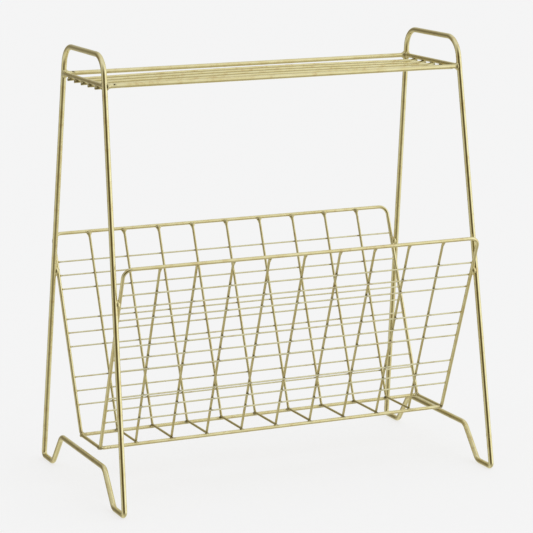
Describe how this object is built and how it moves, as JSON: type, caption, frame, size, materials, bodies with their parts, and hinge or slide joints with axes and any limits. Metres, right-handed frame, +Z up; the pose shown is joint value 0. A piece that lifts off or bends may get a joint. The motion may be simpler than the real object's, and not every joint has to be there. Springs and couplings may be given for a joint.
{
  "type": "magazine rack",
  "caption": "Free-standing wire magazine rack: looped end frames with handle tops, a slatted top shelf and an open V-shaped grid basket.",
  "frame": {"origin": "on the floor, under the middle of the rack", "axes": "+Z up; X along the length, from the left end frame to the right one; +Y across the depth, towards the back"},
  "size_m": [0.451, 0.2674, 0.488],
  "materials": {
    "end_frame_brass": "satin brass plating on bent round steel rod",
    "shelf_brass": "satin brass plating on straight round steel rod",
    "basket_brass": "satin brass plating on round steel rod and wire",
    "panel_wire_brass": "satin brass plating on thin drawn steel wire"
  },
  "bodies": {
    "root": {"end_frame_left": "end_frame_brass", "end_frame_right": "end_frame_brass", "shelf_edge_rod_front": "shelf_brass", "shelf_edge_rod_back": "shelf_brass", "shelf_cross_rod_left": "shelf_brass", "shelf_cross_rod_right": "shelf_brass", "shelf_slat_1": "shelf_brass", "shelf_slat_2": "shelf_brass", "shelf_slat_3": "shelf_brass", "shelf_slat_4": "shelf_brass", "shelf_slat_5": "shelf_brass", "basket_frame_front": "basket_brass", "basket_frame_back": "basket_brass", "basket_floor_rod_left": "basket_brass", "basket_floor_rod_right": "basket_brass", "basket_rib_1": "basket_brass", "basket_rib_2": "basket_brass", "basket_rib_3": "basket_brass", "basket_rib_4": "basket_brass", "basket_rib_5": "basket_brass", "basket_rib_6": "basket_brass", "basket_rib_7": "basket_brass", "basket_rib_8": "basket_brass", "basket_rib_9": "basket_brass", "basket_wire_front_1": "panel_wire_brass", "basket_wire_front_2": "panel_wire_brass", "basket_wire_front_3": "panel_wire_brass", "basket_wire_front_4": "panel_wire_brass", "basket_wire_front_5": "panel_wire_brass", "basket_wire_front_6": "panel_wire_brass", "basket_wire_front_7": "panel_wire_brass", "basket_wire_front_8": "panel_wire_brass", "basket_wire_front_9": "panel_wire_brass", "basket_wire_back_1": "panel_wire_brass", "basket_wire_back_2": "panel_wire_brass", "basket_wire_back_3": "panel_wire_brass", "basket_wire_back_4": "panel_wire_brass", "basket_wire_back_5": "panel_wire_brass", "basket_wire_back_6": "panel_wire_brass", "basket_wire_back_7": "panel_wire_brass", "basket_wire_back_8": "panel_wire_brass", "basket_wire_back_9": "panel_wire_brass"}
  },
  "joints": []
}
